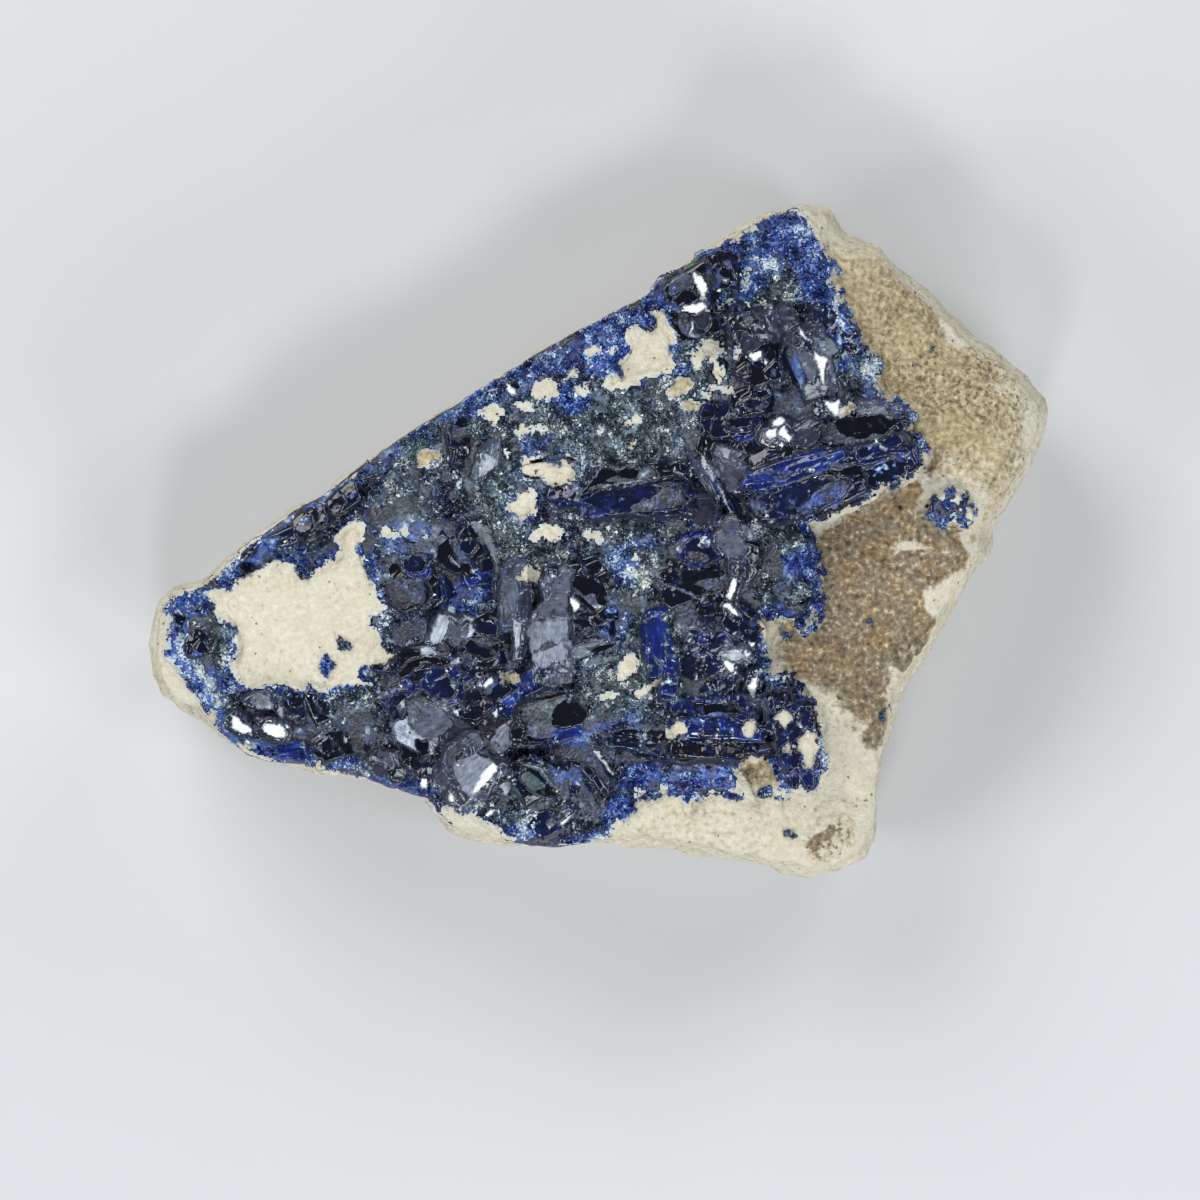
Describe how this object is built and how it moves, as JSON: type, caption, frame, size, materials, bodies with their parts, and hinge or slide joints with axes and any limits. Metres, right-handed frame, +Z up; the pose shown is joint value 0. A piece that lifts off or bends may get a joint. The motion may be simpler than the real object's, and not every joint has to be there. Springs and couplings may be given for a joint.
{
  "type": "mineral specimen",
  "caption": "Flat-backed slab of pale sandstone with a crust of dark blue intergrown crystals over most of one face and a small separate cluster beside it.",
  "frame": {"origin": "on the resting plane, under the middle of the slab's bounding box", "axes": "+X along the slab's longest extent, towards its blunt end; +Y across the slab, towards the corner where the crystals reach the edge; +Z up, out of the crystal-bearing face"},
  "size_m": [0.0898, 0.0675, 0.0263],
  "materials": {
    "sandstone": "rough, grainy broken rock",
    "azurite": "glassy, faceted"
  },
  "bodies": {
    "root": {"matrix_rock": "sandstone", "azurite_crust": "azurite", "azurite_islet": "azurite"}
  },
  "joints": []
}
